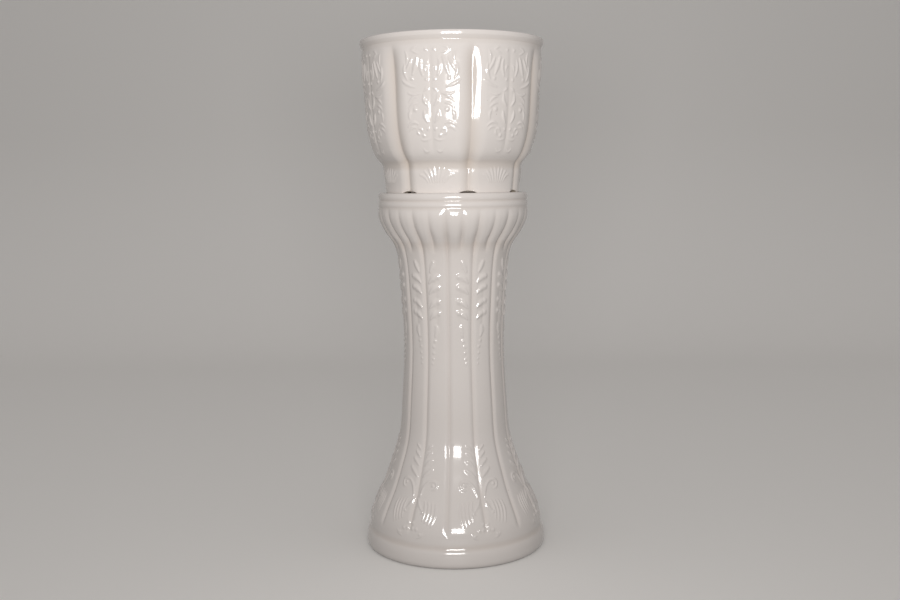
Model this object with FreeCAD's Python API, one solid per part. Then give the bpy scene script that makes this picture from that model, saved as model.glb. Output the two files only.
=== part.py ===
"""A jardiniere on its matching stand: two hollow glazed castings, one solid each.

The frame's origin is the centre of the stand's foot, +Z is up and the front faces -Y.
All lengths are in millimetres. An azimuth is counted in degrees from the front towards +X.
The jardiniere has seven bellied panels that meet in creases, a round lip and a waisted foot
with an arch under each crease. The stand is a hollow column of twice as many panels, between
a gadrooned capital, which seats the foot, and a round base band.
"""
import FreeCAD
import Part
import math
import os

# ---- the pattern that both castings share ----
PANELS = 7
FIRST_CREASE = 12.7             # azimuth of the jardiniere's crease right of the front
STAND_CREASE = -5.6             # azimuth of the stand's crease nearest the front
WALL_SMOOTHNESS = 0.35          # how far a wall's rings may leave its smooth profile
EDGE_SMOOTHNESS = 0.55          # the same for the lip, the collar and the base band
HOLLOW_SMOOTHNESS = 0.8         # the same for the hollows
STEP = 0.3                      # the fine step where a round band meets the panels
MARGIN = 1.0                    # how far a cut runs on past the face that it opens

# ---- jardiniere: heights are above its own foot ----
POT_HEIGHT = 215.0
LIP_RADIUS = 130.0              # the widest point of the rolled lip
LIP_HEIGHT = 13.0
LIP_OVERHANG = 2.6              # how far the lip stands out over the panels
FOOT_RADIUS = 98.5
FOOT_BAND = 8.0                 # height of the nearly straight foot
NECK_RADIUS = 97.3
NECK_HEIGHT = 42.0              # top of the straight neck
SHOULDER_RADIUS = 113.6
SHOULDER_HEIGHT = 65.0          # where the swell over the neck ends
BELLY_TUCK = 6.7                # how much narrower the belly is than the lip
BELLY_HEIGHT = 133.0
LIP_TUCK = 0.5                  # how far the panels draw in where the creases begin to fade
POT_WALL = 7.5
POT_FLOOR = 8.0
LIP_CORNER = (1.3, 2.2)         # middle of the lip's inner roll: out from the bore, down from the top
MOUTH_PLAY = 0.9                # how much wider the wall's hollow is than the lip's bore
HEEL_TUCK = 8.0                 # how much narrower the hollow is at the floor than at the neck
HEEL_EASE = 1.0                 # the same, half way up
POT_CREASE = 4.0                # depth of a crease at the belly
POT_ROLL = 14.0                 # width of the roll from a panel down to its crease
CREASE_RUN_OUT = 18.0           # the creases fade over this height under the lip
FOOT_RING = 9.0                 # width of the ring that the jardiniere stands on
FOOT_RECESS = 8.0               # depth of the hollow inside that ring
ARCH_WIDTH = 34.0
ARCH_HEIGHT = 6.3
NECK_MIDDLE = 0.45              # where the neck is narrowest, as a share of its height
NECK_LEAVES = 0.06              # share of the swell that is reached at the neck's top
SHOULDER_TURN = (0.42, 0.58)    # shares of height and swell in the middle of the shoulder
POT_CREASES = (0.55, 0.6, 0.75, 0.9, 1.0, 1.0, 0.8, 0.2)    # depth of the creases, from foot to lip
POT_FLATS = (3, 6)              # flats in a roll and in a panel

# ---- seat of the jardiniere on the stand ----
SEAT_DEPTH = 2.5                # the foot stands this deep inside the collar
SEAT_CLEARANCE = 1.8            # between foot and collar, all round
SEAT_BORE = 60.0                # radius of the casting hole in the middle of the seat
SEAT_FLOOR = 8.0

# ---- stand: heights are above the floor ----
STAND_HEIGHT = 514.5
COLLAR_EDGE = 4.8               # width of the collar's rim round the seat
COLLAR_HEIGHT = 21.0
COLLAR_ROLL = 4.0               # height of the collar's rounded edge
COLLAR_CORNER = (0.8, 1.4)      # middle of that edge: in from the side, down from the top
COLLAR_OVERLAP = (3.0, 1.5)     # how far the panels run on under the collar: up and in
GROOVE_DEPTH = 1.0              # the line round the collar
GROOVE_DROP = 10.5              # from the collar's top to that line
GROOVE_REACH = 2.2              # from the middle of the line to its edge
BULGE_SWELL = 1.8               # how far the gadroons stand out past the collar
BULGE_DROP = 31.0               # from the collar's top to the gadroons' widest point
CAPITAL_HEIGHT = 84.0           # collar and gadroons together
FLUTE_START_DROP = 90.5         # from the collar's top to where the flute in a panel begins
FLUTE_FULL_DROP = 56.5          # from the collar's top to where it is as deep as the creases
GADROON_DEPTH = 2.6
CAPITAL_NECK = 82.0             # radius of the column just under the capital
CAPITAL_TURNS = ((0.24, 0.2), (0.45, 0.51), (0.7, 0.81))    # shares of the capital's rise and swell
RISE_RADIUS = 76.4
RISE_DROP = 129.5               # from the collar's top to where the column widens
WAIST_RADIUS = 72.6
WAIST_HEIGHT = 290.0
TAPER_RADIUS = 77.0
TAPER_HEIGHT = 208.0            # half way down from the waist to the flare
FLARE_RADIUS = 82.8
FLARE_HEIGHT = 158.0            # where the column begins to spread
SPLAY_RADIUS = 104.0
SPLAY_HEIGHT = 94.0
SPLAY_SAG = 0.7                 # how far the wall sags between the flare and the splay
SKIRT_HEIGHT = 51.0             # where the spread column turns down to the base band
SKIRT_TUCK = 7.6                # how much narrower the wall is there than the band
BAND_OVERREACH = 1.0            # how much wider the base band is than the lip
BAND_HEIGHT = 40.0              # top of the band, where the creases have run out
BAND_SHOULDER = 6.8             # how much narrower the wall is there
BAND_BELLY = 22.0               # height of the band's widest point
BAND_UNDERCUT = 11.0            # how far the band draws in to the floor
BAND_TURN = (0.22, 0.34)        # shares of the undercut and the belly in the middle of that curve
BAND_CREST = 1.7                # how far the band has drawn in half way up to its top
BAND_OVERLAP = 4.0              # how far the panels run on down inside the band
STAND_WALL = 7.5
STAND_CREASE_DEPTH = 2.0
STAND_ROLL = 6.5
BAND_CREASE = 0.1               # share of the creases' depth at the band's top
SKIRT_CREASE = 0.6              # the same at the skirt
CAPITAL_CREASES = (0.9, 1.0, 1.0, 1.0, 0.8, 0.2)    # depth of the gadroons, from neck to collar
HIDDEN_CREASE = 0.2             # depth in millimetres under the collar
STAND_FLATS = (1, 4)            # flats in a roll and in a panel
BASE_RING = 10.0                # width of the ring that the stand rests on

BELLY_RADIUS = LIP_RADIUS - BELLY_TUCK
BAND_RADIUS = LIP_RADIUS + BAND_OVERREACH
SKIRT_RADIUS = BAND_RADIUS - SKIRT_TUCK
BAND_NECK = BAND_RADIUS - BAND_SHOULDER
BAND_FOOT = BAND_RADIUS - BAND_UNDERCUT
SEAT_LEVEL = STAND_HEIGHT - SEAT_DEPTH
SEAT_RADIUS = FOOT_RADIUS + SEAT_CLEARANCE
COLLAR_RADIUS = SEAT_RADIUS + COLLAR_EDGE
BULGE_RADIUS = COLLAR_RADIUS + BULGE_SWELL
STAND_PANELS = 2 * PANELS
UP = FreeCAD.Vector(0, 0, 1)
CENTRE = FreeCAD.Vector(0, 0, 0)


# ---------------------------------------------------------------- outlines
def point(radius, azimuth, height):
    """The point at a radius and a height, in the direction of an azimuth."""
    turn = math.radians(azimuth)
    return FreeCAD.Vector(radius * math.sin(turn), -radius * math.cos(turn), height)


def rounded(start, middle, end):
    """The (radius, height) pairs of a turned arc through three such pairs, cut into bands."""
    through = Part.Arc(*[FreeCAD.Vector(radius, 0, height) for radius, height in (start, middle, end)])
    return [(p.x, p.z) for p in through.toShape().discretize(Deflection=EDGE_SMOOTHNESS)]


def turned(outline):
    """The solid turned about the axis from a closed outline of (radius, height) pairs."""
    corners = []
    for radius, height in outline:
        corner = FreeCAD.Vector(radius, 0, height)
        if not corners or not corner.isEqual(corners[-1], 1e-6):
            corners.append(corner)
    face = Part.Face(Part.makePolygon(corners + corners[:1]))
    return face.revolve(CENTRE, UP, 360)


def smooth_rings(stations, smoothness):
    """The (height, radius, crease depth) of the rings that follow a smooth profile."""
    profile = Part.BSplineCurve()
    profile.interpolate([FreeCAD.Vector(radius, depth, height) for height, radius, depth in stations])
    return [(p.z, p.x, p.y) for p in profile.discretize(Deflection=smoothness)]


def panelled_section(height, radius, depth, flute, style):
    """A closed section of equal panels that roll down to the creases between them.

    style holds the number of panels, the azimuth of the first crease, the width of the roll and
    the flats in a roll and in a panel. A flute of its own depth may run down each panel's middle.
    """
    panels, first, roll, roll_flats, panel_flats = style
    pitch = 360.0 / panels
    flank = math.degrees(roll / radius)
    corners = []
    for i in range(panels):
        left = first + i * pitch
        right = left + pitch
        falls = [(k / roll_flats, depth * (1 - k / roll_flats) ** 2) for k in range(roll_flats)]
        for share, fall in falls:
            corners.append(point(radius - fall, left + flank * share, height))
        for k in range(panel_flats + 1):
            share = k / panel_flats
            fall = flute * (1 - abs(2 * share - 1)) ** 2
            azimuth = left + flank + (pitch - 2 * flank) * share
            corners.append(point(radius - fall, azimuth, height))
        for share, fall in reversed(falls[1:]):
            corners.append(point(radius - fall, right - flank * share, height))
    return Part.makePolygon(corners + corners[:1])


def many_sided(outline, sides):
    """The solid of flat sides round the axis through (height, radius) pairs."""
    pitch = 360.0 / sides
    turns = [STAND_CREASE + (i + 0.5) * pitch for i in range(sides + 1)]
    sections = []
    for height, radius in outline:
        sections.append(Part.makePolygon([point(radius, turn, height) for turn in turns]))
    return Part.makeLoft(sections, True, True)


# ---------------------------------------------------------------- jardiniere
def pot_stations(base):
    """The jardiniere's wall from foot to lip, as (height, radius, crease depth)."""
    under_lip = LIP_RADIUS - LIP_OVERHANG
    rise = SHOULDER_HEIGHT - NECK_HEIGHT
    swell = SHOULDER_RADIUS - NECK_RADIUS
    lip_base = POT_HEIGHT - LIP_HEIGHT
    profile = [
        (0.0, FOOT_RADIUS),
        (NECK_HEIGHT * NECK_MIDDLE, NECK_RADIUS),
        (NECK_HEIGHT, NECK_RADIUS + swell * NECK_LEAVES),
        (NECK_HEIGHT + rise * SHOULDER_TURN[0], NECK_RADIUS + swell * SHOULDER_TURN[1]),
        (SHOULDER_HEIGHT, SHOULDER_RADIUS),
        (BELLY_HEIGHT, BELLY_RADIUS),
        (lip_base - CREASE_RUN_OUT, under_lip - LIP_TUCK),
        (lip_base + LIP_HEIGHT / 2, under_lip),
    ]
    return [(base + height, radius, POT_CREASE * share)
            for (height, radius), share in zip(profile, POT_CREASES)]


def lip(base):
    """The round lip: a full bead over the panels, rolled over to the inside."""
    top = base + POT_HEIGHT
    low = top - LIP_HEIGHT
    half = top - LIP_HEIGHT / 2
    bore = LIP_RADIUS - LIP_OVERHANG - POT_WALL
    outer = LIP_RADIUS - LIP_OVERHANG + STEP
    crown = (bore + LIP_RADIUS) / 2
    outline = rounded((outer, low), (LIP_RADIUS, half), (crown, top))
    outline += rounded((crown, top), (bore + LIP_CORNER[0], top - LIP_CORNER[1]), (bore, half))
    return turned(outline + [(bore, low)])


def pot_inside(base):
    """The hollow of the jardiniere's wall, a little wider at the top than the lip's bore."""
    inset = POT_CREASE + POT_WALL
    bore = LIP_RADIUS - LIP_OVERHANG - POT_WALL + MOUTH_PLAY
    floor = base + FOOT_RECESS + POT_FLOOR
    wall = [(height, radius - inset, 0) for height, radius, depth in pot_stations(base)[2:6]]
    neck_height, neck_radius, flat = wall[0]
    heel = [(floor, neck_radius - HEEL_TUCK, 0), ((floor + neck_height) / 2, neck_radius - HEEL_EASE, 0)]
    mouth = [(base + POT_HEIGHT - LIP_HEIGHT, bore, 0)]
    rings = smooth_rings(heel + wall + mouth, HOLLOW_SMOOTHNESS)
    rings.append((base + POT_HEIGHT + MARGIN, bore, 0))
    return many_sided([(height, radius) for height, radius, depth in rings], 2 * STAND_PANELS)


def foot_arches(base):
    """The cutters of the low arches in the foot ring, one under each crease."""
    radius = ((ARCH_WIDTH / 2) ** 2 + ARCH_HEIGHT ** 2) / (2 * ARCH_HEIGHT)
    start = FOOT_RADIUS - 2 * FOOT_RING
    cutters = []
    for i in range(PANELS):
        azimuth = FIRST_CREASE + i * 360.0 / PANELS
        centre = point(start, azimuth, base + ARCH_HEIGHT - radius)
        cutters.append(Part.makeCylinder(radius, 3 * FOOT_RING, centre, point(1, azimuth, 0)))
    return cutters


def jardiniere(base):
    """The jardiniere, standing at the height of base."""
    rings = smooth_rings(pot_stations(base), WALL_SMOOTHNESS)
    rings.insert(1, (base + FOOT_BAND, FOOT_RADIUS - STEP, rings[0][2]))
    style = (PANELS, FIRST_CREASE, POT_ROLL) + POT_FLATS
    sections = [panelled_section(height, radius, depth, 0, style) for height, radius, depth in rings]
    wall = Part.makeLoft(sections, True, True)
    recess = Part.makeCylinder(FOOT_RADIUS - FOOT_RING, FOOT_RECESS, FreeCAD.Vector(0, 0, base))
    return wall.cut([pot_inside(base), recess] + foot_arches(base)).fuse(lip(base))


# ---------------------------------------------------------------- stand
def stand_stations():
    """The stand's wall from the base band to the collar, as (height, radius, crease depth)."""
    neck = STAND_HEIGHT - CAPITAL_HEIGHT
    widest = STAND_HEIGHT - BULGE_DROP
    swell = BULGE_RADIUS - CAPITAL_NECK
    splay_middle = ((SPLAY_HEIGHT + FLARE_HEIGHT) / 2, (SPLAY_RADIUS + FLARE_RADIUS) / 2 - SPLAY_SAG)
    column = [
        (SPLAY_HEIGHT, SPLAY_RADIUS),
        splay_middle,
        (FLARE_HEIGHT, FLARE_RADIUS),
        (TAPER_HEIGHT, TAPER_RADIUS),
        (WAIST_HEIGHT, WAIST_RADIUS),
        (STAND_HEIGHT - RISE_DROP, RISE_RADIUS),
    ]
    capital = [(neck, CAPITAL_NECK)]
    for up, out in CAPITAL_TURNS:
        capital.append((neck + (widest - neck) * up, CAPITAL_NECK + swell * out))
    capital += [(widest, BULGE_RADIUS), (STAND_HEIGHT - COLLAR_HEIGHT, COLLAR_RADIUS - STEP)]
    stations = [
        (BAND_HEIGHT - BAND_OVERLAP, BAND_NECK, 0.0),
        (BAND_HEIGHT, BAND_NECK, STAND_CREASE_DEPTH * BAND_CREASE),
        (SKIRT_HEIGHT, SKIRT_RADIUS, STAND_CREASE_DEPTH * SKIRT_CREASE),
    ]
    stations += [(height, radius, STAND_CREASE_DEPTH) for height, radius in column]
    for (height, radius), share in zip(capital, CAPITAL_CREASES):
        stations.append((height, radius, GADROON_DEPTH * share))
    return stations


def flute_depth(height, depth):
    """How deep the flute in the middle of a panel is, where the creases have a depth."""
    share = (height - STAND_HEIGHT + FLUTE_START_DROP) / (FLUTE_START_DROP - FLUTE_FULL_DROP)
    return depth * min(max(share, 0.0), 1.0)


def collar():
    """The round collar over the gadroons, with the line round it."""
    top = STAND_HEIGHT
    low = STAND_HEIGHT - COLLAR_HEIGHT
    groove = STAND_HEIGHT - GROOVE_DROP
    rim = (SEAT_RADIUS + COLLAR_RADIUS) / 2
    side = COLLAR_RADIUS
    corner = (side - COLLAR_CORNER[0], top - COLLAR_CORNER[1])
    outline = rounded((rim, top), corner, (side, top - COLLAR_ROLL))
    outline += [(side, groove + GROOVE_REACH), (side - GROOVE_DEPTH, groove), (side, groove - GROOVE_REACH)]
    return turned(outline + [(side, low), (0, low), (0, top)])


def base_band():
    """The round band that the stand rests on."""
    bulge = (BAND_RADIUS - BAND_UNDERCUT * BAND_TURN[0], BAND_BELLY * BAND_TURN[1])
    neck = (BAND_NECK + STEP, BAND_HEIGHT)
    crest = (BAND_RADIUS - BAND_CREST, (BAND_BELLY + BAND_HEIGHT) / 2)
    outline = rounded((BAND_FOOT, 0), bulge, (BAND_RADIUS, BAND_BELLY))
    outline += rounded((BAND_RADIUS, BAND_BELLY), crest, neck)
    return turned(outline + [(0, BAND_HEIGHT), (0, 0)])


def stand_inside():
    """The hollow of the stand, open at the floor and up to the seat."""
    ceiling = SEAT_LEVEL - SEAT_FLOOR
    inset = STAND_CREASE_DEPTH + STAND_WALL
    wall = [(height, radius - inset, 0) for height, radius, depth in stand_stations()[2:13]]
    foot = [(0, BAND_FOOT - BASE_RING, 0)]
    shoulder = [(ceiling, wall[-1][1], 0)]
    rings = smooth_rings(foot + wall, HOLLOW_SMOOTHNESS) + shoulder
    return many_sided([(height, radius) for height, radius, depth in rings], STAND_PANELS)


def stand():
    """The stand, on the floor."""
    rings = smooth_rings(stand_stations(), WALL_SMOOTHNESS)
    up, inwards = COLLAR_OVERLAP
    rings.append((STAND_HEIGHT - COLLAR_HEIGHT + up, COLLAR_RADIUS - inwards, HIDDEN_CREASE))
    style = (STAND_PANELS, STAND_CREASE, STAND_ROLL) + STAND_FLATS
    sections = []
    for height, radius, depth in rings:
        sections.append(panelled_section(height, radius, depth, flute_depth(height, depth), style))
    wall = Part.makeLoft(sections, True, True)
    seat = Part.makeCylinder(SEAT_RADIUS, SEAT_DEPTH + MARGIN, FreeCAD.Vector(0, 0, SEAT_LEVEL))
    under_seat = FreeCAD.Vector(0, 0, SEAT_LEVEL - SEAT_FLOOR - MARGIN)
    bore = Part.makeCylinder(SEAT_BORE, SEAT_FLOOR + 2 * MARGIN, under_seat)
    return wall.fuse([collar(), base_band()]).cut([stand_inside(), seat, bore])


if __name__ == "__main__":
    os.makedirs("parts", exist_ok=True)
    for name, shape in (("jardiniere", jardiniere(SEAT_LEVEL)), ("stand", stand())):
        solid = shape.Solids[0]
        print(name, len(shape.Solids), solid.isValid(), round(solid.Volume / 1000), "cm3", solid.BoundBox)
        solid.exportStep("parts/" + name + ".step")
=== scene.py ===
"""The look of a glazed white jardiniere on its stand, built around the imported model.

Everything is in metres. An azimuth is counted from the front (-Y) towards +X. Every wall comes
from one Geometry Nodes tree: a sheet of rings and columns is wrapped round the axis along an
outline, drawn in at the creases, raised where the ornament lies, and joined at its seam.
"""
import math

import bpy
import numpy as np
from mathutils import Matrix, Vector


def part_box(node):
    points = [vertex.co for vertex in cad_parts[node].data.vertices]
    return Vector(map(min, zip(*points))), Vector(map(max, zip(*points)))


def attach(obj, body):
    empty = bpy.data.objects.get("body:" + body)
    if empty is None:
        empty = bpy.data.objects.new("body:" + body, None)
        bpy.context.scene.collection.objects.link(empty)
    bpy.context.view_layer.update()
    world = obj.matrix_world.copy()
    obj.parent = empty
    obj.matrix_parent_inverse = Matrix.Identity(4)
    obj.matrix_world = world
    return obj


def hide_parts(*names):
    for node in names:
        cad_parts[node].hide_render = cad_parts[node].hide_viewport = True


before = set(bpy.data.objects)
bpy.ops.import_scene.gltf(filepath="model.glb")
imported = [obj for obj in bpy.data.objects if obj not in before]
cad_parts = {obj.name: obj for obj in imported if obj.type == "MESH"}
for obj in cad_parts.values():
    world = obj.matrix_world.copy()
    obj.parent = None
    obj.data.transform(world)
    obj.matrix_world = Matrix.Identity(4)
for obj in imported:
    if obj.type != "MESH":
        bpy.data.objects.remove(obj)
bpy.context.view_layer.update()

MM = 0.001
POT_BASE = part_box("jardiniere")[0][2]
POT_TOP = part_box("jardiniere")[1][2]
STAND_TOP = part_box("stand")[1][2]

# ---- the pattern that both castings share ----
REPEATS = 7
POT_CREASE_AT = math.radians(12.7)
STAND_CREASE_AT = math.radians(-5.6)
POT_PANEL_AT = POT_CREASE_AT + math.pi / REPEATS        # middle of a jardiniere panel
FROND_AT = STAND_CREASE_AT + math.pi / REPEATS          # the stand's crease that carries a frond

# ---- jardiniere: radii, and heights above its own foot ----
LIP_RADIUS = 130.0 * MM
LIP_HEIGHT = 13.0 * MM
UNDER_LIP = LIP_RADIUS - 2.6 * MM
BORE_DROP = 6.5 * MM             # below the top: the lip's rounding has become its bore
SIDE_RADIUS = 126.95 * MM        # the wall where the lip flares out of it
BELLY_RADIUS = LIP_RADIUS - 6.7 * MM
BELLY_HEIGHT = 133.0 * MM
SHOULDER_RADIUS = 113.6 * MM
SHOULDER_HEIGHT = 65.0 * MM
NECK_RADIUS = 97.3 * MM
FOOT_RADIUS = 94.8 * MM
FOOT_RING = 9.0 * MM
FOOT_RECESS = 8.0 * MM
ARCH_WIDTH = 29.0 * MM
ARCH_HEIGHT = 4.5 * MM
ARCH_FADE = 9.0 * MM             # the wall is compressed over this height above an arch
ARCH_POWER = 6.0                 # how square an arch is: 2 would be a parabola
POT_WALL = 7.5 * MM
POT_FLOOR = 8.0 * MM
POT_CREASE = 6.6 * MM            # depth of a crease below the rolls beside it
POT_ROLL = 20.0 * MM
NECK_ROLL = 14.0 * MM
POT_BOTTOM = 0.9 * MM            # how round a crease is at its bottom
FOOT_CREASE = 4.1 * MM
PANEL_BOW = 0.46                 # how far a panel is flattened, as a share of its crease
POT_LINE = 0.6 * MM              # depth of the fine line down the middle of a panel
POT_LINE_ROLL = 6.0 * MM
POT_RELIEF = 0.8                 # how high the ornament stands, as a share of its drawn rise

# ---- stand: radii, and heights above the floor ----
SEAT_DEPTH = 2.5 * MM
SEAT_RADIUS = 100.3 * MM
SEAT_BORE = 60.0 * MM
SEAT_PLATE = 8.0 * MM
COLLAR_RADIUS = 107.2 * MM
COLLAR_HEIGHT = 21.0 * MM
GROOVE_DROP = 10.5 * MM
BULGE_RADIUS = 107.6 * MM
BULGE_DROP = 31.0 * MM           # drops are measured down from the stand's top
CAPITAL_RADIUS = 82.0 * MM       # the column where the capital begins to swell
CAPITAL_DROP = 84.0 * MM
BAND_RADIUS = LIP_RADIUS + 1.0 * MM
BAND_FOOT = 126.5 * MM
BASE_RING = 14.0 * MM
STAND_CREASE = 2.0 * MM
STAND_ROLL = 6.5 * MM
STAND_BOTTOM = 0.6 * MM          # how round a crease is at its bottom
GADROON_ROLL = 10.0 * MM
FLUTE_ROLL = 8.0 * MM
STAND_RELIEF = 0.9

# ---- how finely the walls are divided ----
COLUMNS = 784                    # round a wall with relief; a multiple of 28 creases and flutes
PLAIN_COLUMNS = 168              # round a plain turned surface
FINE = 1.05 * MM                 # ring spacing where relief lies
SHAFT_SKIP = 4                   # one ring in so many is kept on the stand's plain shaft
SAME_PLACE = 1e-6                # points of an outline that are closer than this are one
LEAST_STEP = 1e-5                # the shortest step that a bend is measured over
SEAM = 2e-5                      # first and last column are joined over this distance

# ---- where the walls are cut into pieces: heights above the floor ----
NECK_TO_BELLY = POT_BASE + 44.0 * MM
BELLY_TO_BRIM = 0.640
BAND_TO_SKIRT = 0.062
SKIRT_TO_SHAFT = 0.175
SHAFT_TO_FROND = 0.272
FROND_TO_CAPITAL = 0.393
CAPITAL_TO_COLLAR = 0.488
ABOVE_ALL = 1.0

# ---- how far ornament spreads, and where glaze gathers and shade is painted ----
DOT_STEP = 0.5                   # mm between the dots of a stroke
FIRST_TAPER, LAST_TAPER = 0.35, 0.45        # shares of a stroke that slim towards its tips
RELIEF_REACH = 1.6               # a dot's relief ends at this many half widths
HOLLOW_AT = 1.15                 # half widths at which pooled glaze and painted shade lie beside the relief
HOLLOW_REACH = 1.6 * MM
# where an outline hollows, glaze gathers and shade is painted into the glaze colour
COVE_FROM = 5.0                  # glaze gathers where an outline hollows more than this, in 1/m,
COVE_FULL = 30.0                 # and fully at this
COVE_BLUR = 9                    # rings that this gathering is evened out over
# how strongly the glaze colour darkens in creases, beside relief and in hollow bends: pooled glaze,
# and painted shade
CREASE_POOL_AND_SHADE, HOLLOW_POOL_AND_SHADE, COVE_POOL_AND_SHADE = 0.8, 0.12, 0.55


# ---------------------------------------------------------------- outlines
def smooth_run(stations, step):
    """Points of a smooth curve through stations, a step apart; each column is interpolated."""
    stations = np.array(stations, dtype=float)
    chords = np.linalg.norm(np.diff(stations[:, :2], axis=0), axis=1)
    at = np.concatenate([[0.0], np.cumsum(chords)])
    count = len(at)
    matrix = np.zeros((count, count))
    right = np.zeros((count, stations.shape[1]))
    matrix[0, 0] = matrix[-1, -1] = 1.0
    for i in range(1, count - 1):
        before, after = at[i] - at[i - 1], at[i + 1] - at[i]
        matrix[i, i - 1:i + 2] = before, 2 * (before + after), after
        slopes = (stations[i + 1] - stations[i]) / after - (stations[i] - stations[i - 1]) / before
        right[i] = 6 * slopes
    bends = np.linalg.solve(matrix, right)
    points = []
    for t in np.linspace(0.0, at[-1], max(2, round(at[-1] / step) + 1)):
        i = min(int(np.searchsorted(at, t, side="right")) - 1, count - 2)
        span = at[i + 1] - at[i]
        a, b = (at[i + 1] - t) / span, (t - at[i]) / span
        value = a * stations[i] + b * stations[i + 1]
        value = value + ((a ** 3 - a) * bends[i] + (b ** 3 - b) * bends[i + 1]) * span ** 2 / 6
        points.append(value)
    return points


def round_run(start, corner, end, count):
    """Points of a rounded corner from start to end, drawn towards the corner."""
    points = []
    for t in np.linspace(0.0, 1.0, count):
        weight = np.array([(1 - t) ** 2, 2 * t * (1 - t), t ** 2])
        points.append(weight @ np.array([start, corner, end], dtype=float))
    return points


def outline_rows(points):
    """Rows of radius, height, crease, roll, flute, flute roll, outward r and z, and cove.

    A point may leave out what comes after its height. Crease and flute are depths, a roll is the
    width over which a wall falls to one, and cove is how fully glaze gathers there, with painted
    shade, from 0 to 1.
    """
    rows = []
    for point in points:
        row = list(point) + [0.0] * (6 - len(point))
        if not rows or math.dist(row[:2], rows[-1][:2]) > SAME_PLACE:
            rows.append(row)
    rows = np.array(rows, dtype=float)
    tangents = np.gradient(rows[:, :2], axis=0)
    tangents /= np.linalg.norm(tangents, axis=1)[:, None]
    steps = np.gradient(rows[:, 1]) * tangents[:, 1] + np.gradient(rows[:, 0]) * tangents[:, 0]
    turns = np.gradient(np.unwrap(np.arctan2(tangents[:, 1], tangents[:, 0])))
    bends = turns / np.maximum(steps, LEAST_STEP)
    cove = np.clip((-bends - COVE_FROM) / (COVE_FULL - COVE_FROM), 0.0, 1.0)
    blur = np.hanning(COVE_BLUR) / np.hanning(COVE_BLUR).sum()
    cove = np.convolve(np.pad(cove, COVE_BLUR // 2, mode="edge"), blur, mode="valid")
    return np.column_stack([rows, tangents[:, 1], -tangents[:, 0], cove])


def outline_mesh(name, rows):
    """The rows as loose points, with what each ring needs to know stored on them."""
    mesh = bpy.data.meshes.new(name)
    mesh.from_pydata([(row[0], 0.0, row[1]) for row in rows], [], [])
    outward = mesh.attributes.new("outward", "FLOAT_VECTOR", "POINT")
    outward.data.foreach_set("vector", [part for row in rows for part in (row[6], 0.0, row[7])])
    for label, column in (("crease", 2), ("roll", 3), ("flute", 4), ("flute_roll", 5), ("cove", 8)):
        layer = mesh.attributes.new(label, "FLOAT", "POINT")
        layer.data.foreach_set("value", np.maximum(rows[:, column], 0.0))
    holder = bpy.data.objects.new(name, mesh)
    bpy.context.scene.collection.objects.link(holder)
    return holder


# ---------------------------------------------------------------- ornament
def stroke(start, bend, end, width, rise=0.9, tips=(0.35, 0.35)):
    """One modelled stroke, as (x, y, half width, rise) dots in mm along a bent line.

    Each of its tips is a share of its width.
    """
    length = math.dist(start, bend) + math.dist(bend, end)
    near, middle, far = np.array(start), np.array(bend), np.array(end)
    dots = []
    for t in np.linspace(0.0, 1.0, max(6, int(length / DOT_STEP))):
        x, y = (1 - t) ** 2 * near + 2 * t * (1 - t) * middle + t ** 2 * far
        first = tips[0] + (1 - tips[0]) * t / FIRST_TAPER
        last = tips[1] + (1 - tips[1]) * (1 - t) / LAST_TAPER
        slim = min(1.0, first, last)
        dots.append((x, y, width / 2 * slim, rise * (0.6 + 0.4 * slim)))
    return dots


def bead(x, y, width, rise=1.0):
    """A round bead, as a single dot."""
    return [(x, y, width / 2, rise)]


def ornament_mesh(name, dots):
    """The dots of an ornament laid out flat: x off the mirror line, y the height."""
    mesh = bpy.data.meshes.new(name)
    mesh.from_pydata([(x * MM, y * MM, 0.0) for x, y, width, rise in dots], [], [])
    half = mesh.attributes.new("half_width", "FLOAT", "POINT")
    half.data.foreach_set("value", [width * MM for x, y, width, rise in dots])
    layer = mesh.attributes.new("rise", "FLOAT", "POINT")
    layer.data.foreach_set("value", [rise * MM for x, y, width, rise in dots])
    holder = bpy.data.objects.new(name, mesh)
    bpy.context.scene.collection.objects.link(holder)
    return holder


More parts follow.
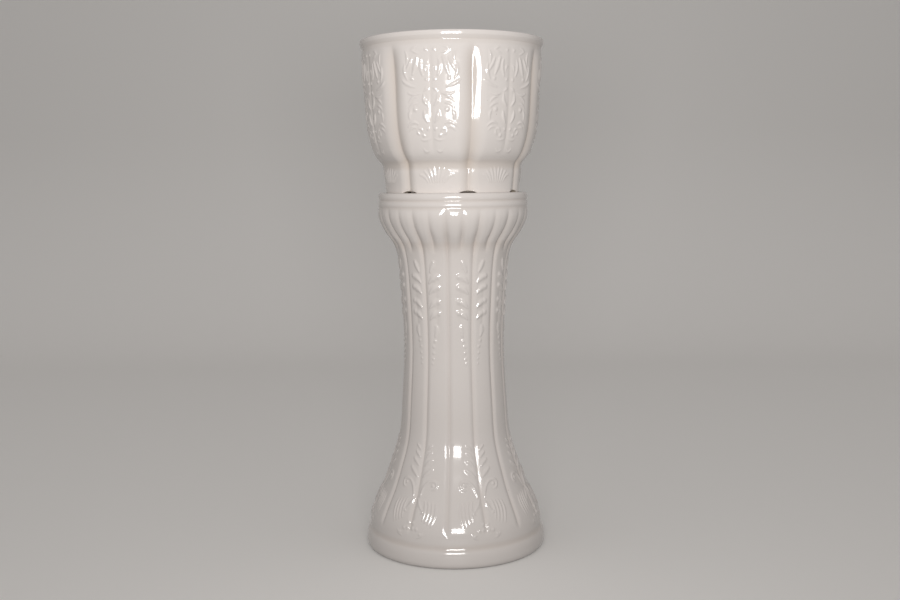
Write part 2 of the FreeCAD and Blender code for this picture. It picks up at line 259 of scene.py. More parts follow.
def pot_ornament():
    """A jardiniere panel's foliage on each side of its middle line: leaves, scrolls and berries."""
    dots = []
    # berries and small leaves along the middle line
    for x, y, width in ((5.9, 702, 3.6), (5.4, 664, 3.6), (5.8, 651, 3.4), (5.0, 599, 3.4),
                        (11.0, 591, 4.6)):
        dots += bead(x, y, width, 1.3)
    dots += stroke((3.4, 681), (7.5, 683), (7.0, 675), 3.0, 1.1)
    dots += stroke((10.5, 642), (9.5, 635), (4.5, 630), 4.6, 1.5)
    dots += stroke((9.5, 623), (10.0, 615), (5.0, 608), 4.8, 1.6)
    # upper spray
    dots += stroke((15.5, 697), (21.0, 699), (26.5, 702), 2.8, 1.0)
    dots += stroke((26.5, 702), (22.0, 705), (18.5, 706), 2.8, 1.0)
    dots += stroke((17.5, 692), (20.5, 681), (24.5, 670), 5.8, 1.7, (0.5, 0.3))
    dots += stroke((25.5, 691), (29.5, 682), (34.0, 675), 4.6, 1.5, (0.5, 0.4))
    dots += stroke((11.5, 690), (15.5, 681), (10.0, 669), 4.6, 1.3, (0.4, 0.5))
    # long outer leaf that turns in below
    dots += stroke((34.5, 701), (30.0, 694), (33.0, 683), 3.6, 1.2)
    dots += stroke((35.5, 684), (38.0, 674), (32.0, 664), 4.2, 1.4)
    dots += stroke((40.0, 664), (34.0, 657), (21.5, 654), 4.0, 1.3, (0.3, 0.4))
    dots += bead(25.3, 665, 4.4, 1.4)
    # rosette across the middle line
    for start, bend, end in (((2.5, 652), (6.5, 653), (9.0, 648)),
                             ((9.6, 646), (10.0, 640), (6.5, 637))):
        dots += stroke(start, bend, end, 3.0, 1.1)
    # acanthus sweeps
    dots += stroke((15.0, 646), (23.0, 642), (31.5, 647), 3.8, 1.4)
    dots += stroke((20.0, 641), (27.0, 641), (30.5, 634), 3.4, 1.2)
    dots += stroke((18.5, 633), (26.0, 634), (31.0, 626), 3.4, 1.2)
    dots += bead(21.8, 625, 5.4, 1.6)
    dots += stroke((28.0, 624), (32.0, 620), (30.0, 612), 4.0, 1.2)
    dots += stroke((18.5, 606), (26.0, 612), (33.0, 603), 3.8, 1.4)
    dots += stroke((21.5, 601), (27.5, 604), (31.0, 597), 3.0, 1.1)
    # curl and points at the foot of the spray
    dots += stroke((12.5, 596), (14.5, 602), (19.0, 599), 3.0, 1.2)
    dots += stroke((19.5, 598), (20.0, 593), (16.0, 592), 3.0, 1.1)
    dots += stroke((15.6, 586), (9.5, 583), (3.0, 587), 3.0, 0.9)
    dots += stroke((13.5, 574), (10.0, 566), (5.0, 572), 3.0, 0.9)
    # palmette on the neck
    for reach, top in ((2.5, 548), (9.0, 547), (15.5, 544), (21.5, 539)):
        dots += stroke((reach * 0.55, 529), (reach * 0.75, 539), (reach + 1.0, top), 3.6, 0.9,
                       (0.4, 0.7))
    return dots


def frond_ornament():
    """The stand's frond: leaflets down a crease, beads below, then volutes, shells and beads."""
    dots = []
    # leaflets: fat at the outer end, sloping down to the crease, between two upright ones
    dots += stroke((15.0, 419), (13.0, 413), (9.5, 406), 6.4, 1.5, (0.8, 0.5))
    for outer, height in ((19.5, 399), (19.5, 384), (19.0, 364), (19.0, 348)):
        dots += stroke((outer, height), (13.5, height - 0.5), (7.0, height - 9), 8.0, 1.9,
                       (0.9, 0.25))
    dots += stroke((15.5, 328), (16.5, 322), (13.5, 315), 6.4, 1.3, (0.8, 0.5))
    for x, y, width in ((12.8, 308, 4.4), (10.6, 300, 4.2), (10.2, 291, 3.8), (9.2, 283, 3.2),
                        (8.6, 276, 2.8)):
        dots += bead(x, y, width, 0.9)
    # sprig that grows down from small tips to the volute
    for tip, root, width in (((12.0, 160), (6.0, 154), 3.6), ((12.5, 151), (5.5, 144), 4.4),
                             ((14.5, 141), (5.5, 133), 5.2), ((17.0, 129), (5.0, 118), 5.8)):
        middle = ((tip[0] + root[0]) / 2 + 0.5, (tip[1] + root[1]) / 2 + 1.5)
        dots += stroke(tip, middle, root, width, 1.4, (0.7, 0.35))
    # volute and its eye, with an arm that runs up the crease
    dots += stroke((5.5, 92), (6.5, 106), (15.0, 112.5), 3.8, 1.3, (0.4, 0.9))
    dots += stroke((15.0, 112.5), (26.5, 116), (27.5, 107.5), 3.8, 1.3, (0.9, 0.9))
    dots += stroke((27.5, 107.5), (27.0, 102), (21.0, 102.5), 3.4, 1.2, (0.9, 0.4))
    dots += bead(21.6, 108.0, 4.2, 1.5)
    # arm down to the shell
    dots += stroke((3.0, 90), (7.0, 81), (13.0, 75), 3.8, 1.2)
    dots += bead(14.5, 73.5, 5.4, 1.5)
    # shell: nested ridges that bow outwards
    for k in range(4):
        x = 14.0 + 5.6 * k
        dots += stroke((x, 88 - k), (x + 6.0, 76 - k), (x + 2.5 - 0.8 * k, 63 - 2.2 * k), 3.4, 1.2)
    # beads and a small leaf under the shell
    for x, y, width in ((3.2, 59, 4.6), (4.0, 51.5, 4.2), (10.2, 51, 4.4), (16.6, 44.5, 4.0)):
        dots += bead(x, y, width, 1.2)
    dots += stroke((21.0, 47), (19.0, 42), (12.5, 40), 3.2, 0.9)
    return dots


# ---------------------------------------------------------------- node helpers
class Tree:
    """A small writer for node trees: add, math and distance each give back a new node's output."""

    def __init__(self, tree):
        self.tree = tree

    def link(self, value, socket):
        if isinstance(value, bpy.types.NodeSocket):
            self.tree.links.new(value, socket)
        elif value is not None:
            socket.default_value = value

    def add(self, kind, values=(), output=0, **settings):
        """A node of a kind; values go to its sockets in order or by name."""
        node = self.tree.nodes.new(kind)
        for key, value in settings.items():
            setattr(node, key, value)
        pairs = values.items() if isinstance(values, dict) else enumerate(values)
        for key, value in pairs:
            self.link(value, node.inputs[key])
        return node.outputs[output]

    def math(self, operation, *values):
        return self.add("ShaderNodeMath", values, operation=operation)

    def distance(self, first, second):
        return self.add("ShaderNodeVectorMath", (first, second), output="Value",
                        operation="DISTANCE")


# ---------------------------------------------------------------- the wall tree
WALL_INPUTS = (
    ("Outline", "NodeSocketObject"),
    ("Rings", "NodeSocketInt"),
    ("Columns", "NodeSocketInt"),
    ("Creases", "NodeSocketInt"),
    ("Crease Azimuth", "NodeSocketFloat"),
    ("Crease Bottom", "NodeSocketFloat"),
    ("Panel Bow", "NodeSocketFloat"),
    ("Ornament", "NodeSocketObject"),
    ("Repeats", "NodeSocketInt"),
    ("Ornament Azimuth", "NodeSocketFloat"),
    ("Relief", "NodeSocketFloat"),
    ("Foot Height", "NodeSocketFloat"),
    ("Arch Width", "NodeSocketFloat"),
    ("Arch Height", "NodeSocketFloat"),
    ("Arch Fade", "NodeSocketFloat"),
    ("Glaze", "NodeSocketMaterial"),
)


def wall_tree():
    """The tree that wraps an outline round the axis, with creases, flutes, arches and relief."""
    group = bpy.data.node_groups.new("cast wall", "GeometryNodeTree")
    group.is_modifier = True
    for name, kind in WALL_INPUTS:
        group.interface.new_socket(name, in_out="INPUT", socket_type=kind)
    group.interface.new_socket("Wall", in_out="OUTPUT", socket_type="NodeSocketGeometry")
    t = Tree(group)
    given = group.nodes.new("NodeGroupInput").outputs

    # a sheet of rings and columns, and where each of its points is
    stride = t.math("ADD", given["Columns"], 1)
    sheet = t.add("GeometryNodeMeshGrid", {"Size X": 1.0, "Size Y": 1.0,
                                           "Vertices X": given["Rings"], "Vertices Y": stride})
    index = t.add("GeometryNodeInputIndex")
    ring = t.math("FLOOR", t.math("DIVIDE", t.math("ADD", index, 0.25), stride))
    column = t.math("SUBTRACT", index, t.math("MULTIPLY", ring, stride))
    azimuth = t.math("MULTIPLY", t.math("DIVIDE", column, given["Columns"]), math.tau)
    azimuth = t.math("ADD", azimuth, given["Crease Azimuth"])

    # what the outline says for the ring
    outline = t.add("GeometryNodeObjectInfo", {"Object": given["Outline"]}, output="Geometry")

    def stored(label, kind="FLOAT"):
        return t.add("GeometryNodeInputNamedAttribute", {"Name": label}, data_type=kind)

    def of_ring(field, kind="FLOAT"):
        return t.add("GeometryNodeSampleIndex",
                     {"Geometry": outline, "Value": field, "Index": ring},
                     data_type=kind, domain="POINT")

    place = t.tree.nodes.new("ShaderNodeSeparateXYZ")
    t.link(of_ring(t.add("GeometryNodeInputPosition"), "FLOAT_VECTOR"), place.inputs[0])
    radius, height = place.outputs["X"], place.outputs["Z"]
    aim = t.tree.nodes.new("ShaderNodeSeparateXYZ")
    t.link(of_ring(stored("outward", "FLOAT_VECTOR"), "FLOAT_VECTOR"), aim.inputs[0])

    # creases, and flutes half way between them
    pitch = t.math("DIVIDE", math.tau, given["Creases"])
    turn = t.math("FLOORED_MODULO", t.math("SUBTRACT", azimuth, given["Crease Azimuth"]), pitch)
    to_crease = t.math("MINIMUM", turn, t.math("SUBTRACT", pitch, turn))
    to_flute = t.math("SUBTRACT", t.math("MULTIPLY", pitch, 0.5), to_crease)

    def rolled(angle, depth, roll):
        """How far the wall falls at an angle from a crease: a roll with a rounded bottom."""
        across = t.math("MULTIPLY", angle, radius)
        bottom = given["Crease Bottom"]
        squares = t.math("ADD", t.math("POWER", across, 2.0), t.math("POWER", bottom, 2.0))
        eased = t.math("SUBTRACT", t.math("SQRT", squares), bottom)
        share = t.math("SUBTRACT", 1.0, t.math("DIVIDE", eased, t.math("MAXIMUM", roll, 1e-4)))
        return t.math("MULTIPLY", depth, t.math("POWER", t.math("MAXIMUM", share, 0.0), 2.0))

    crease = of_ring(stored("crease"))
    crease_fall = rolled(to_crease, crease, of_ring(stored("roll")))
    flute_fall = rolled(to_flute, of_ring(stored("flute")), of_ring(stored("flute_roll")))
    fall = t.math("ADD", crease_fall, flute_fall)
    aside = t.math("DIVIDE", to_flute, t.math("MULTIPLY", pitch, 0.5))
    bow = t.math("MULTIPLY", crease, given["Panel Bow"])
    bow = t.math("MULTIPLY", bow, t.math("POWER", aside, 2.0))

    # relief: the nearest dot of the ornament, laid out flat on each side of its mirror line
    span = t.math("DIVIDE", math.tau, given["Repeats"])
    offset = t.math("SUBTRACT", azimuth, given["Ornament Azimuth"])
    offset = t.math("FLOORED_MODULO", t.math("ADD", offset, t.math("MULTIPLY", span, 0.5)), span)
    offset = t.math("ABSOLUTE", t.math("SUBTRACT", offset, t.math("MULTIPLY", span, 0.5)))
    flat = t.add("ShaderNodeCombineXYZ", {"X": t.math("MULTIPLY", offset, radius), "Y": height})
    ornament = t.add("GeometryNodeObjectInfo", {"Object": given["Ornament"]}, output="Geometry")
    nearest = t.add("GeometryNodeSampleNearest", {"Geometry": ornament, "Sample Position": flat})

    def of_dot(field, kind="FLOAT"):
        return t.add("GeometryNodeSampleIndex",
                     {"Geometry": ornament, "Value": field, "Index": nearest},
                     data_type=kind, domain="POINT")

    def bell(value, reach):
        """1 where a value is 0, and smoothly down to 0 where it is its reach."""
        return t.add("ShaderNodeMapRange", {"Value": value, "From Min": reach, "From Max": 0.0},
                     interpolation_type="SMOOTHSTEP")

    half_width = of_dot(stored("half_width"))
    away = t.distance(flat, of_dot(t.add("GeometryNodeInputPosition"), "FLOAT_VECTOR"))
    inside = bell(away, t.math("MULTIPLY", half_width, RELIEF_REACH))
    relief = t.math("MULTIPLY", inside, of_dot(stored("rise")))
    relief = t.math("MULTIPLY", relief, given["Relief"])
    rim = t.math("SUBTRACT", away, t.math("MULTIPLY", half_width, HOLLOW_AT))
    hollow = bell(t.math("ABSOLUTE", rim), HOLLOW_REACH)

    # arches that lift the foot under each crease
    across = t.math("MULTIPLY", to_crease, FOOT_RADIUS)
    share = t.math("DIVIDE", across, t.math("MULTIPLY", given["Arch Width"], 0.5))
    arch = t.math("SUBTRACT", 1.0, t.math("POWER", share, ARCH_POWER))
    arch = t.math("MULTIPLY", t.math("MAXIMUM", arch, 0.0), given["Arch Height"])
    above = t.math("SUBTRACT", height, given["Foot Height"])
    fade = t.add("ShaderNodeMapRange", {"Value": above, "From Min": 0.0,
                                        "From Max": given["Arch Fade"],
                                        "To Min": 1.0, "To Max": 0.0})
    lift = t.math("MULTIPLY", arch, fade)

    # put every point in its place
    out = t.math("ADD", t.math("SUBTRACT", relief, fall), bow)
    reach = t.math("ADD", radius, t.math("MULTIPLY", aim.outputs["X"], out))
    level = t.math("ADD", height, t.math("MULTIPLY", aim.outputs["Z"], out))
    level = t.math("ADD", level, lift)
    east = t.math("MULTIPLY", reach, t.math("SINE", azimuth))
    south = t.math("MULTIPLY", reach, t.math("MULTIPLY", t.math("COSINE", azimuth), -1.0))
    spot = t.add("ShaderNodeCombineXYZ", {"X": east, "Y": south, "Z": level})
    wall = t.add("GeometryNodeSetPosition", {"Geometry": sheet, "Position": spot})

    # what the glaze needs to know: how much of it gathers at a place, with painted shade in
    # creases, beside relief and in hollow bends, and where relief stands
    crease_share = t.math("DIVIDE", fall, POT_CREASE)
    beside = t.math("MULTIPLY", t.math("MULTIPLY", hollow, HOLLOW_POOL_AND_SHADE), given["Relief"])
    pooled = t.math("MAXIMUM", t.math("MULTIPLY", crease_share, CREASE_POOL_AND_SHADE), beside)
    pooled = t.math("ADD", pooled, t.math("MULTIPLY", of_ring(stored("cove")), COVE_POOL_AND_SHADE))
    crest = t.math("MULTIPLY", inside, given["Relief"])
    for label, value in (("pooled", pooled), ("crest", crest)):
        wall = t.add("GeometryNodeStoreNamedAttribute",
                     {"Geometry": wall, "Name": label, "Value": value},
                     data_type="FLOAT", domain="POINT")
    wall = t.add("GeometryNodeMergeByDistance", {"Geometry": wall, "Distance": SEAM})
    wall = t.add("GeometryNodeFlipFaces", {"Mesh": wall})
    wall = t.add("GeometryNodeSetShadeSmooth", {"Geometry": wall})
    wall = t.add("GeometryNodeRealizeInstances", {"Geometry": wall})
    wall = t.add("GeometryNodeSetMaterial", {"Geometry": wall, "Material": given["Glaze"]})
    ends = group.nodes.new("NodeGroupOutput")
    group.links.new(wall, ends.inputs["Wall"])
    return group


def make_wall(name, tree, rows, body, node, slot, glaze, **settings):
    """One wall as a plain mesh that stands for a node and rides on its body.

    A setting is a value for the tree's input of that name; the others stay plain.
    """
    outline = outline_mesh(name + "_outline", rows)
    maker = bpy.data.objects.new(name + "_maker", bpy.data.meshes.new(name + "_maker"))
    bpy.context.scene.collection.objects.link(maker)
    modifier = maker.modifiers.new("wall", "NODES")
    modifier.node_group = tree
    values = {"Outline": outline, "Rings": len(rows), "Columns": PLAIN_COLUMNS, "Creases": REPEATS,
              "Crease Azimuth": 0.0, "Crease Bottom": POT_BOTTOM, "Panel Bow": 0.0,
              "Ornament": NO_ORNAMENT, "Repeats": REPEATS, "Ornament Azimuth": 0.0, "Relief": 0.0,
              "Foot Height": 0.0, "Arch Width": ARCH_WIDTH, "Arch Height": 0.0,
              "Arch Fade": ARCH_FADE, "Glaze": glaze}
    values.update({key.replace("_", " ").title(): value for key, value in settings.items()})
    for item in tree.interface.items_tree:
        if item.in_out == "INPUT":
            modifier[item.identifier] = values[item.name]
    depsgraph = bpy.context.evaluated_depsgraph_get()
    mesh = bpy.data.meshes.new_from_object(maker.evaluated_get(depsgraph), depsgraph=depsgraph)
    mesh.name = name
    for helper in (maker, outline):
        bpy.data.objects.remove(helper)
    piece = bpy.data.objects.new(name, mesh)
    bpy.context.scene.collection.objects.link(piece)
    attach(piece, body)
    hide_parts(node)


# ---------------------------------------------------------------- glaze
# thin glaze, and the darker tone where glaze pools and shade is painted in creases and hollows
POT_THIN, POT_THICK_AND_SHADE = (0.790, 0.742, 0.715, 1.0), (0.62, 0.54, 0.475, 1.0)
STAND_THIN, STAND_THICK_AND_SHADE = (0.760, 0.712, 0.685, 1.0), (0.58, 0.50, 0.44, 1.0)
POT_GLOSS, STAND_GLOSS = 0.07, 0.08         # roughness of the glaze
SPECK = (0.20, 0.13, 0.08, 1.0)
CLAY, STAINED_CLAY = (0.66, 0.60, 0.52, 1.0), (0.50, 0.43, 0.35, 1.0)


def mix_colour(t, factor, first, second):
    """A colour mix, whose sockets are told apart by their type."""
    node = t.tree.nodes.new("ShaderNodeMix")
    node.data_type = "RGBA"
    sockets = [s for s in node.inputs if s.type == "RGBA"]
    t.link(factor, node.inputs[0])
    t.link(first, sockets[0])
    t.link(second, sockets[1])
    return [s for s in node.outputs if s.type == "RGBA"][0]


def glaze_group():
    """A poured glaze: pooled colour with painted shade in the hollows, slow clouds, fine ripple and
    stray specks.
    """
    group = bpy.data.node_groups.new("poured glaze", "ShaderNodeTree")
    for name, kind in (("Thin", "NodeSocketColor"), ("Thick And Shade", "NodeSocketColor"),
                       ("Speck", "NodeSocketColor"), ("Cloud Scale", "NodeSocketFloat"),
                       ("Gloss", "NodeSocketFloat")):
        group.interface.new_socket(name, in_out="INPUT", socket_type=kind)
    for name, kind in (("Colour", "NodeSocketColor"), ("Roughness", "NodeSocketFloat"),
                       ("Height", "NodeSocketFloat")):
        group.interface.new_socket(name, in_out="OUTPUT", socket_type=kind)
    t = Tree(group)
    given = group.nodes.new("NodeGroupInput").outputs
    where = t.add("ShaderNodeTexCoord", output="Object")
    pooled = t.add("ShaderNodeAttribute", output="Fac", attribute_name="pooled")
    crest = t.add("ShaderNodeAttribute", output="Fac", attribute_name="crest")
    cloud = t.add("ShaderNodeTexNoise", {"Vector": where, "Scale": given["Cloud Scale"],
                                         "Detail": 3.0})
    cloudy = t.math("MULTIPLY", t.math("SUBTRACT", cloud, 0.5), 0.4)
    # glaze depth from pooling and painted shade, with slow clouds, and less on relief crests
    depth = t.math("ADD", t.math("MULTIPLY", pooled, 0.7), cloudy)
    depth = t.math("SUBTRACT", depth, t.math("MULTIPLY", crest, 0.2))
    depth = t.add("ShaderNodeClamp", {"Value": depth})
    tint = mix_colour(t, depth, given["Thin"], given["Thick And Shade"])
    dots = t.add("ShaderNodeTexVoronoi", {"Vector": where, "Scale": 55.0}, output="Distance")
    chance = t.add("ShaderNodeTexNoise", {"Vector": where, "Scale": 24.0, "Detail": 1.0})
    speck = t.add("ShaderNodeMapRange", {"Value": dots, "From Min": 0.035, "From Max": 0.02})
    rare = t.add("ShaderNodeMapRange", {"Value": chance, "From Min": 0.6, "From Max": 0.64})
    speck = t.math("MULTIPLY", t.math("MULTIPLY", speck, rare), 0.55)
    tint = mix_colour(t, speck, tint, given["Speck"])
    ripple = t.add("ShaderNodeTexNoise", {"Vector": where, "Scale": 38.0, "Detail": 2.0})
    grain = t.add("ShaderNodeTexNoise", {"Vector": where, "Scale": 420.0, "Detail": 2.0})
    height = t.math("ADD", t.math("MULTIPLY", ripple, 0.8), t.math("MULTIPLY", grain, 0.06))
    rough = t.math("ADD", given["Gloss"], t.math("MULTIPLY", cloud, 0.05))
    ends = group.nodes.new("NodeGroupOutput")
    group.links.new(tint, ends.inputs["Colour"])
    group.links.new(rough, ends.inputs["Roughness"])
    group.links.new(height, ends.inputs["Height"])
    return group


def glaze_material(name, group, thin, thick_and_shade, gloss):
    """A glossy glaze over white earthenware."""
    material = bpy.data.materials.new(name)
    material.use_nodes = True
    t = Tree(material.node_tree)
    shader = material.node_tree.nodes["Principled BSDF"]
    poured = t.tree.nodes.new("ShaderNodeGroup")
    poured.node_tree = group
    for label, value in (("Thin", thin), ("Thick And Shade", thick_and_shade), ("Speck", SPECK), ("Cloud Scale", 9.0),
                         ("Gloss", gloss)):
        t.link(value, poured.inputs[label])
    bump = t.tree.nodes.new("ShaderNodeBump")
    bump.inputs["Strength"].default_value = 0.12
    bump.inputs["Distance"].default_value = 0.6 * MM
    t.link(poured.outputs["Height"], bump.inputs["Height"])
    t.link(poured.outputs["Colour"], shader.inputs["Base Color"])
    t.link(poured.outputs["Roughness"], shader.inputs["Roughness"])
    t.link(bump.outputs["Normal"], shader.inputs["Normal"])
    shader.inputs["IOR"].default_value = 1.5
    shader.inputs["Coat Weight"].default_value = 0.35
    shader.inputs["Coat Roughness"].default_value = 0.03
    return material


def bisque_material():
    """Bare fired clay, where a foot is wiped clean of glaze."""
    material = bpy.data.materials.new("bare clay")
    material.use_nodes = True
    t = Tree(material.node_tree)
    shader = material.node_tree.nodes["Principled BSDF"]
    where = t.add("ShaderNodeTexCoord", output="Object")
    grain = t.add("ShaderNodeTexNoise", {"Vector": where, "Scale": 260.0, "Detail": 4.0})
    stain = t.add("ShaderNodeTexNoise", {"Vector": where, "Scale": 14.0, "Detail": 3.0})
    tint = mix_colour(t, stain, CLAY, STAINED_CLAY)
    bump = t.tree.nodes.new("ShaderNodeBump")
    bump.inputs["Strength"].default_value = 0.4
    bump.inputs["Distance"].default_value = 0.4 * MM
    t.link(grain, bump.inputs["Height"])
    t.link(tint, shader.inputs["Base Color"])
    t.link(bump.outputs["Normal"], shader.inputs["Normal"])
    shader.inputs["Roughness"].default_value = 0.85
    return material


# ---------------------------------------------------------------- the two castings
def pot_wall_rows():
    """The jardiniere's outside from the foot's contact ring over the lip to its bore."""
    base = POT_BASE
    top = POT_TOP
    low = top - LIP_HEIGHT
    half = top - BORE_DROP
    swell = SHOULDER_RADIUS - NECK_RADIUS
    line = POT_LINE
    thin = POT_LINE_ROLL
    stations = [
        (FOOT_RADIUS, base + 1.6 * MM, FOOT_CREASE, NECK_ROLL, 0, thin),
        (96.1 * MM, base + 17.0 * MM, POT_CREASE * 0.67, NECK_ROLL, 0, thin),
        (97.5 * MM, base + 31.0 * MM, POT_CREASE * 0.75, NECK_ROLL, 0, thin),
        (99.0 * MM, base + 41.5 * MM, POT_CREASE * 0.84, NECK_ROLL, 0, thin),
        (NECK_RADIUS + swell * 0.58, base + 51.7 * MM, POT_CREASE, NECK_ROLL + 3.0 * MM, 0, thin),
        (SHOULDER_RADIUS, base + SHOULDER_HEIGHT, POT_CREASE, POT_ROLL, line, thin),
        (BELLY_RADIUS, base + BELLY_HEIGHT, POT_CREASE, POT_ROLL, line, thin),
        (126.2 * MM, low - 22.0 * MM, POT_CREASE * 0.9, POT_ROLL, line, thin),
        (126.7 * MM, low - 13.0 * MM, POT_CREASE * 0.6, POT_ROLL, line * 0.6, thin),
        (126.9 * MM, low - 4.0 * MM, POT_CREASE * 0.1, POT_ROLL, 0, thin),
    ]
    edge = round_run((FOOT_RADIUS - 1.6 * MM, base), (FOOT_RADIUS, base), stations[0][:2], 5)
    points = [tuple(p) + stations[0][2:] for p in edge[:-1]]
    points += smooth_run(stations, FINE)
    side = SIDE_RADIUS
    bore = UNDER_LIP - POT_WALL
    crown = (bore + LIP_RADIUS) / 2
    cove = (side + 0.4 * MM, low + 2.1 * MM)
    flare = (LIP_RADIUS - 0.6 * MM, top - 6.8 * MM)
    face = (LIP_RADIUS - 0.3 * MM, top - 5.6 * MM)
    brow = (LIP_RADIUS, top - 2.6 * MM)
    points += round_run((side, low + 0.6 * MM), (side, low + 1.3 * MM), cove, 6)
    points += round_run(flare, (LIP_RADIUS - 0.4 * MM, top - 6.3 * MM), face, 5)
    points += round_run(face, (LIP_RADIUS - 0.02 * MM, top - 3.6 * MM), brow, 6)[1:]
    points += round_run(brow, (LIP_RADIUS, top), (LIP_RADIUS - 3.2 * MM, top), 9)[1:]
    points.append((crown, top))
    points += round_run((crown, top), (bore + 0.6 * MM, top), (bore, half), 9)[1:]
    return outline_rows(points)


def pot_inside_rows():
    """The inside of the jardiniere, from the lip's bore to the middle of the floor."""
    base = POT_BASE
    low = POT_TOP - LIP_HEIGHT
    bore = UNDER_LIP - POT_WALL
    floor = base + FOOT_RECESS + POT_FLOOR
    side = [(bore, POT_TOP - BORE_DROP), (UNDER_LIP - 12.0 * MM, low - 16 * MM),
            (BELLY_RADIUS - 11.5 * MM, base + BELLY_HEIGHT), (102.1 * MM, base + SHOULDER_HEIGHT),
            (95.3 * MM, base + 52.0 * MM), (87.0 * MM, base + 41.0 * MM),
            (84.5 * MM, base + 30.0 * MM), (70.0 * MM, floor)]
    points = smooth_run(side, 5.0 * MM)
    return outline_rows(points + [(r * MM, floor) for r in (66.0, 50.0, 30.0, 12.0, 0.0)])


def pot_underside_rows():
    """Underneath the jardiniere: from the middle of the recess out to the contact ring."""
    base = POT_BASE
    inner = FOOT_RADIUS - FOOT_RING
    points = [(r * MM, base + FOOT_RECESS) for r in (0.0, 20.0, 45.0, 70.0, 84.0)]
    points += round_run((inner - 3.0 * MM, base + FOOT_RECESS), (inner, base + FOOT_RECESS),
                        (inner, base + FOOT_RECESS - 3.0 * MM), 6)
    points += round_run((inner, base + 1.5 * MM), (inner, base), (inner + 1.5 * MM, base), 5)
    # the contact ring takes up the wall's creases towards its outer edge
    for inset, share in ((4.0, 0.0), (3.0, 0.3), (2.2, 0.7), (1.6, 1.0)):
        points.append((FOOT_RADIUS - inset * MM, base, FOOT_CREASE * share, NECK_ROLL, 0,
                       POT_LINE_ROLL))
    return outline_rows(points)


def stand_wall_rows():
    """The stand's outside from the floor to the seat's edge."""
    top = STAND_TOP
    low = top - COLLAR_HEIGHT
    waist = CAPITAL_RADIUS
    neck = top - CAPITAL_DROP
    rise = top - BULGE_DROP - neck
    swell = BULGE_RADIUS - waist
    crease = STAND_CREASE
    narrow = STAND_ROLL
    wide = GADROON_ROLL
    flute = FLUTE_ROLL
    # base band: round at the floor, fullest low down, with a ledge under the skirt
    full, brow = (BAND_RADIUS, 10.0 * MM), (BAND_RADIUS - 2.4 * MM, 24.5 * MM)
    points = round_run((BAND_FOOT, 0.0), (BAND_RADIUS + 0.4 * MM, 0.3 * MM), full, 9)
    points += round_run(full, (BAND_RADIUS - 0.2 * MM, 20.0 * MM), brow, 9)[1:]
    points += round_run(brow, (126.6 * MM, 27.5 * MM), (126.3 * MM, 32.0 * MM), 7)[1:]
    stations = [
        (126.2 * MM, 33.5 * MM, 0, narrow, 0, flute),
        (125.0 * MM, 43.7 * MM, crease * 0.1, narrow, 0, flute),
        (122.9 * MM, 52.0 * MM, crease * 0.75, narrow, 0, flute),
        (119.2 * MM, 61.6 * MM, crease, narrow, 0, flute),
        (104.0 * MM, 94.0 * MM, crease, narrow, 0, flute),
        (92.2 * MM, 126.0 * MM, crease, narrow, 0, flute),
        (82.3 * MM, 158.0 * MM, crease, narrow, 0, flute),
        (77.0 * MM, 208.0 * MM, crease, narrow, 0, flute),
        (72.6 * MM, 290.0 * MM, crease, narrow, 0, flute),
        (76.4 * MM, 385.0 * MM, crease, narrow, 0, flute),
        (waist, neck, crease * 1.2, narrow, 0, flute),
        (waist + swell * 0.2, neck + rise * 0.24, 3.5 * MM, 0.8 * wide, 2.3 * MM, flute),
        (waist + swell * 0.51, neck + rise * 0.45, 3.7 * MM, wide, 3.2 * MM, flute),
        (waist + swell * 0.81, neck + rise * 0.7, 2.4 * MM, wide, 1.7 * MM, flute),
        (BULGE_RADIUS, top - BULGE_DROP, 1.5 * MM, wide, 0.9 * MM, flute),
        (COLLAR_RADIUS - 0.4 * MM, low + 0.8 * MM, 0, wide, 0, flute),
    ]
    points += smooth_run(stations, FINE)
    # collar: two full rounds with a groove between, then the rim of the seat
    groove = top - GROOVE_DROP
    side = COLLAR_RADIUS
    below, above = (side - 0.5 * MM, groove - 1.6 * MM), (side - 0.5 * MM, groove + 1.6 * MM)
    rim = (side - 1.6 * MM, top - 0.8 * MM)
    points += round_run((side - 0.3 * MM, low + 1.6 * MM), (side + 0.9 * MM, low + 5.0 * MM),
                        below, 9)
    points += round_run(below, (side - 1.4 * MM, groove), above, 7)[1:]
    points += round_run(above, (side + 0.7 * MM, top - 3.5 * MM), rim, 10)[1:]
    points += round_run(rim, (side - 2.4 * MM, top), (side - 3.6 * MM, top), 5)[1:]
    points += round_run((SEAT_RADIUS + 1.6 * MM, top), (SEAT_RADIUS, top),
                        (SEAT_RADIUS, top - 1.6 * MM), 5)
    points += [(SEAT_RADIUS, top - SEAT_DEPTH)]
    return outline_rows(points)


def stand_inside_rows():
    """The seat, its hole, and the hollow down to the ring that the stand rests on."""
    seat = STAND_TOP - SEAT_DEPTH
    ceiling = seat - SEAT_PLATE
    points = [(SEAT_RADIUS, seat)] + [(r * MM, seat) for r in (92.0, 80.0, 70.0)]
    points += round_run((SEAT_BORE + 3.0 * MM, seat), (SEAT_BORE, seat),
                        (SEAT_BORE, seat - 3.0 * MM), 6)
    points += round_run((SEAT_BORE, ceiling + 2.0 * MM), (SEAT_BORE, ceiling),
                        (SEAT_BORE + 2.0 * MM, ceiling), 5)
    points += [(75.0 * MM, ceiling)]
    points += round_run((84.0 * MM, ceiling), (92.5 * MM, ceiling),
                        (92.5 * MM, ceiling - 9.0 * MM), 7)
    ring = BAND_FOOT - BASE_RING
    hollow = [(92.5, 484), (85.7, 462), (76.5, 443), (72.5, 430), (66.9, 385), (63.1, 290),
              (67.5, 208), (73.3, 158), (83.2, 126), (94.5, 94), (108.0, 62)]
    points += smooth_run([(r * MM, z * MM) for r, z in hollow] + [(ring, 20 * MM)], 6.0 * MM)
    points += round_run((ring, 1.5 * MM), (ring, 0), (ring + 1.5 * MM, 0), 4)
    return outline_rows(points + [(BAND_FOOT, 0.0)])


